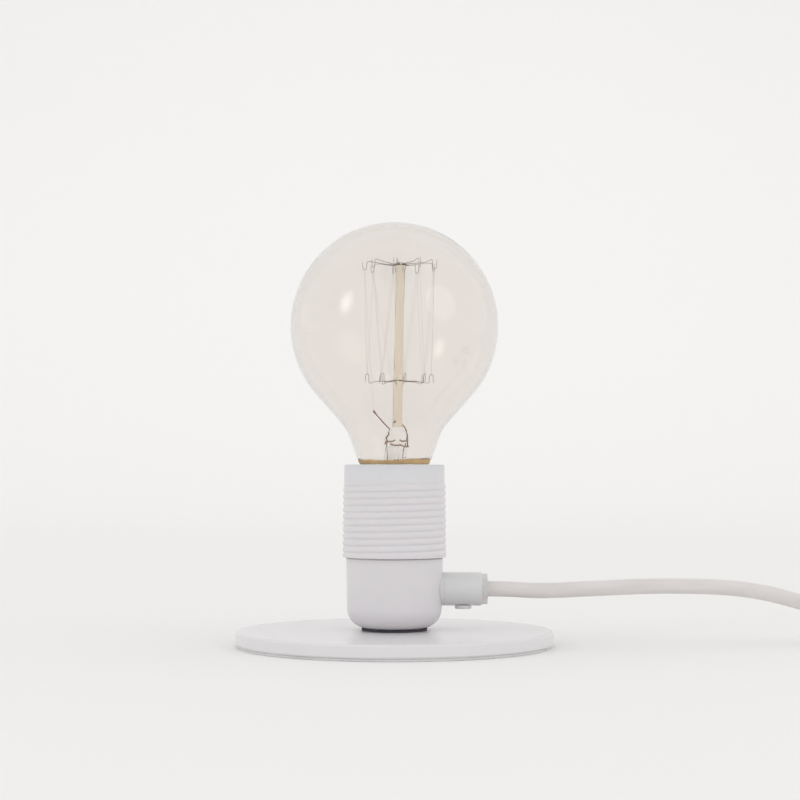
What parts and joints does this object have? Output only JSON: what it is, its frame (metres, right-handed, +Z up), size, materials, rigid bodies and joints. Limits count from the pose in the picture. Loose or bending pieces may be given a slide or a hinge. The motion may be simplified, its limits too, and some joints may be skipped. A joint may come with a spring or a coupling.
{
  "type": "bare bulb table lamp",
  "caption": "Round flat base with an upright threaded lampholder, a clear globe filament bulb and a textile cord leaving the side through a gland to an inline switch and plug.",
  "frame": {"origin": "on the lamp's vertical axis, in the plane of the table under the felt pad", "axes": "+Z up along the lampholder and bulb, +X towards the side where the cord leaves the lampholder"},
  "size_m": [0.4506, 0.12, 0.1607],
  "materials": {
    "powder_coated_steel": "white powder coat, fine satin texture",
    "grey_felt": "pressed wool-like felt",
    "zinc_plated_steel": "bright zinc plating",
    "black_fibre": "pressed fibre washer",
    "white_holder_plastic": "moulded thermoplastic, semi-gloss",
    "cool_white_plastic": "moulded nylon, semi-gloss",
    "clear_bush_plastic": "clear soft plastic",
    "carrier_plastic": "heat-proof moulded plastic",
    "contact_brass": "stamped brass",
    "nickelled_brass": "nickel plated, drawn",
    "smoky_glass": "blown lamp glass with a light smoky tint",
    "stem_glass": "clear pressed glass",
    "yellow_glass_rod": "pale yellow glass rod",
    "support_wire": "drawn molybdenum wire",
    "oxidised_copper": "copper-clad wire, oxidised",
    "carbon_filament": "fine dull filament",
    "black_vitrite": "black glass insulator",
    "tin_solder": "domed solder",
    "amber_cement": "baked basing cement",
    "white_textile": "braided textile sleeve",
    "core_insulation": "soft PVC insulation",
    "tie_fabric": "woven hook and loop strip",
    "white_switch_plastic": "moulded, satin",
    "white_plug_plastic": "soft moulded PVC",
    "pin_brass": "nickel plated turned pins",
    "pin_sleeve_plastic": "insulating sleeve"
  },
  "bodies": {
    "root": {"base_disc": "powder_coated_steel", "base_pad": "grey_felt", "centre_contact": "contact_brass", "coil_tie": "tie_fabric", "contact_carrier": "carrier_plastic", "contact_posts": "contact_brass", "cord_coil": "white_textile", "cord_in_gland": "white_textile", "cord_in_plug": "white_textile", "cord_lead": "white_textile", "cord_to_coil": "white_textile", "cord_to_plug": "white_textile", "core_live": "core_insulation", "core_neutral": "core_insulation", "gland_bush": "clear_bush_plastic", "gland_clamp_screw": "cool_white_plastic", "gland_nut": "cool_white_plastic", "gland_tube": "cool_white_plastic", "lampholder_cup": "white_holder_plastic", "lampholder_sleeve": "white_holder_plastic", "lock_washer": "zinc_plated_steel", "mounting_nipple": "zinc_plated_steel", "nipple_nut": "zinc_plated_steel", "plug_body": "white_plug_plastic", "plug_pin_sleeves": "pin_sleeve_plastic", "plug_pins": "pin_brass", "plug_relief": "white_plug_plastic", "seat_washer": "black_fibre", "switch_contacts": "contact_brass", "switch_cord_ends": "white_textile", "switch_lower_shell": "white_switch_plastic", "switch_neutral_core": "core_insulation", "switch_screws": "zinc_plated_steel", "switch_terminal_screws": "zinc_plated_steel", "switch_terminals": "contact_brass", "switch_upper_shell": "white_switch_plastic", "terminal_blocks": "contact_brass", "terminal_screws": "zinc_plated_steel", "thread_shell": "nickelled_brass"},
    "bulb_lift": {"cap_insulator": "black_vitrite", "cap_contact": "tin_solder"},
    "bulb": {"bulb_glass": "smoky_glass", "cap_shell": "nickelled_brass", "cap_cement": "amber_cement", "stem_flare": "stem_glass", "stem_pinch": "stem_glass", "exhaust_tube": "stem_glass", "stem_rod": "yellow_glass_rod", "top_hooks": "support_wire", "bottom_hooks": "support_wire", "filament": "carbon_filament", "lead_wires": "oxidised_copper"},
    "rocker": {"switch_rocker": "white_switch_plastic"}
  },
  "joints": [
    {"name": "bulb_rise", "type": "slide", "parent": "root", "child": "bulb_lift", "axis": [0, 0, 1], "range_m": [0, 0.02905]},
    {"name": "bulb_turn", "type": "hinge", "parent": "bulb_lift", "child": "bulb", "pos_m": [0, 0, 0.1], "axis": [0, 0, 1], "range_deg": [0, 2880]},
    {"name": "rocker_tilt", "type": "hinge", "parent": "root", "child": "rocker", "pos_m": [0.238, 0.014, 0.0136], "axis": [0, -1, 0], "range_deg": [0, 20]}
  ],
  "couplings": [
    {"joint": "bulb_rise", "follows": "bulb_turn", "m_per_rad": 0.00057757}
  ]
}
